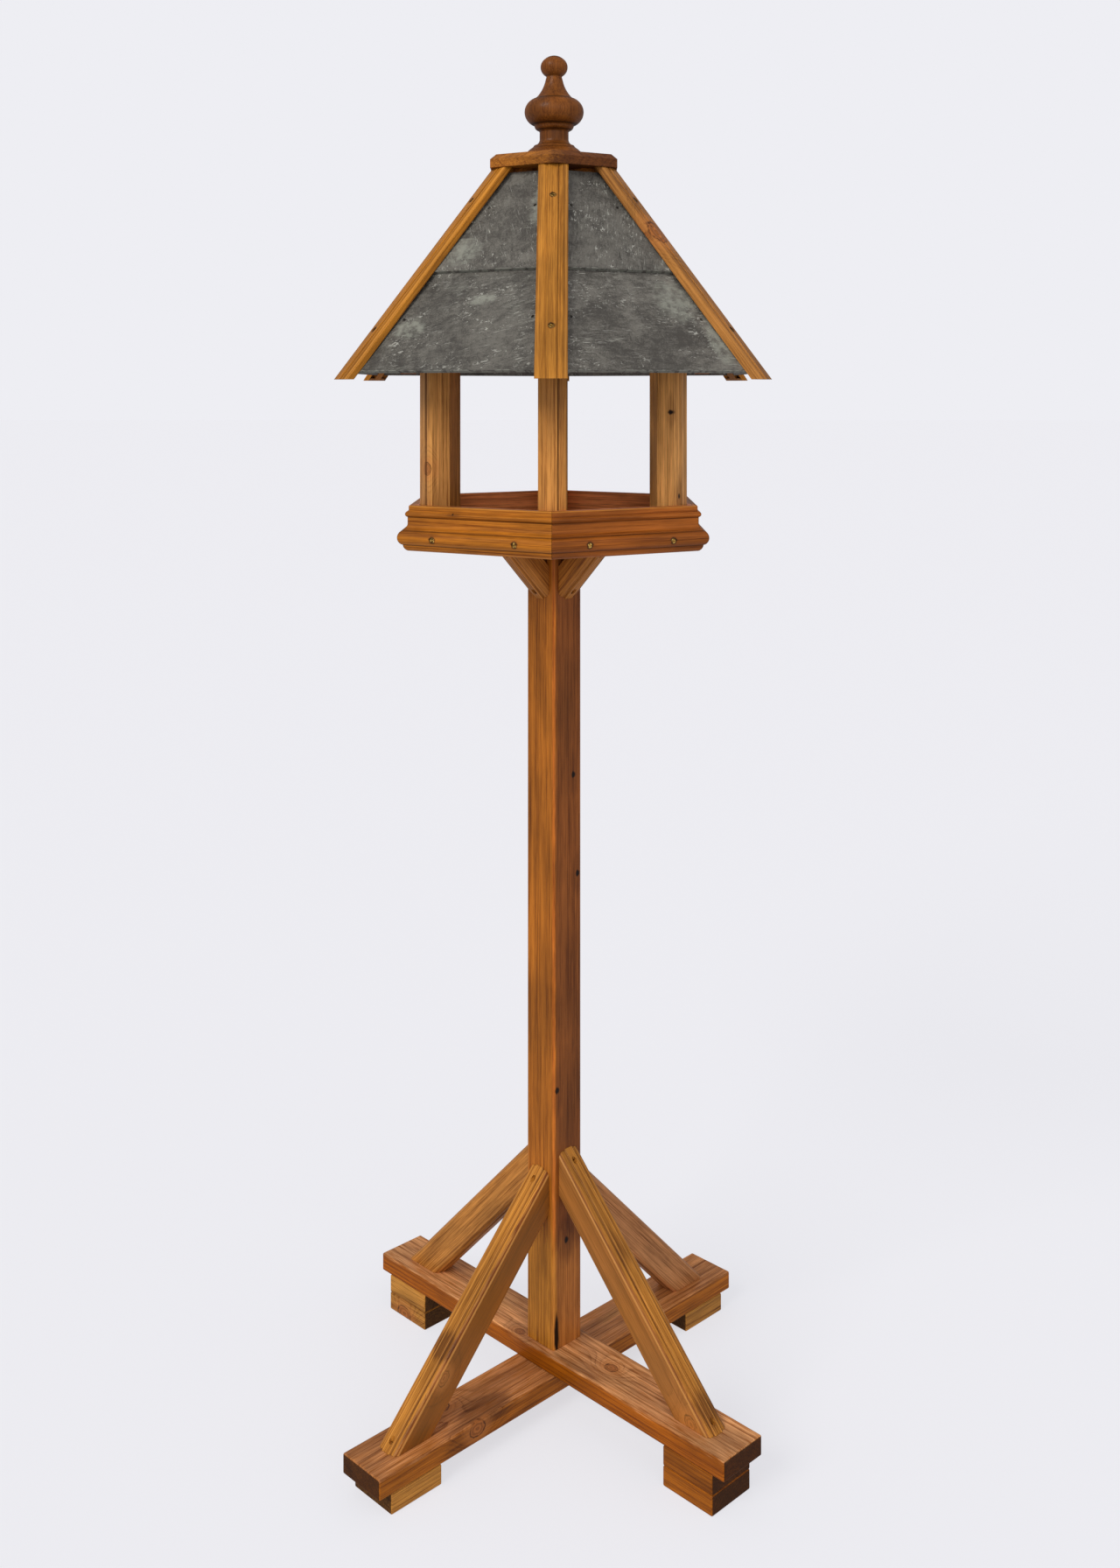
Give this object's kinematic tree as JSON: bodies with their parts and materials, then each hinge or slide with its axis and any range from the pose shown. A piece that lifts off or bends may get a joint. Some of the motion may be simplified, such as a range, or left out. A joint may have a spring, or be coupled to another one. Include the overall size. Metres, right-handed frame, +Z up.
{
  "type": "bird table",
  "caption": "Hexagonal wooden bird table with a moulded tray and a slate roof, on a square post with a strutted cross base.",
  "frame": {"origin": "centre of the base on the ground", "axes": "+Z up along the pole, -Y the front, +X right seen from the front; the base beams lie on the diagonals"},
  "size_m": [0.4872, 0.5516, 1.5878],
  "materials": {
    "stained_pine": "honey-brown satin stain",
    "turned_finial": "darker brown satin stain",
    "slate": "riven, matt",
    "brass_screw": "yellow-passivated"
  },
  "bodies": {
    "root": {"lower_beam": "stained_pine", "upper_beam": "stained_pine", "pole": "stained_pine", "tray_floor": "stained_pine", "rafter_hub": "stained_pine", "roof_cap": "stained_pine", "rafters": "stained_pine", "foot_block_front_left": "stained_pine", "foot_block_front_right": "stained_pine", "foot_block_back_left": "stained_pine", "foot_block_back_right": "stained_pine", "spacer_block_front_right": "stained_pine", "spacer_block_back_left": "stained_pine", "strut_front_left": "stained_pine", "strut_front_right": "stained_pine", "strut_back_left": "stained_pine", "strut_back_right": "stained_pine", "brace_front_left": "stained_pine", "brace_front_right": "stained_pine", "brace_back_left": "stained_pine", "brace_back_right": "stained_pine", "post_front": "stained_pine", "post_front_right": "stained_pine", "post_back_right": "stained_pine", "post_back": "stained_pine", "post_back_left": "stained_pine", "post_front_left": "stained_pine", "hip_batten_front": "stained_pine", "hip_batten_front_right": "stained_pine", "hip_batten_back_right": "stained_pine", "hip_batten_back": "stained_pine", "hip_batten_back_left": "stained_pine", "hip_batten_front_left": "stained_pine", "rim_board_front_right": "stained_pine", "rim_board_right": "stained_pine", "rim_board_back_right": "stained_pine", "rim_board_back_left": "stained_pine", "rim_board_left": "stained_pine", "rim_board_front_left": "stained_pine", "finial": "turned_finial", "lower_slate_front_right": "slate", "lower_slate_right": "slate", "lower_slate_back_right": "slate", "lower_slate_back_left": "slate", "lower_slate_left": "slate", "lower_slate_front_left": "slate", "upper_slate_front_right": "slate", "upper_slate_right": "slate", "upper_slate_back_right": "slate", "upper_slate_back_left": "slate", "upper_slate_left": "slate", "upper_slate_front_left": "slate", "foot_screws": "brass_screw", "pole_screws": "brass_screw", "strut_screws": "brass_screw", "brace_screws": "brass_screw", "rim_screws": "brass_screw", "post_screws": "brass_screw", "batten_screws": "brass_screw", "finial_dowel_screw": "brass_screw"}
  },
  "joints": []
}
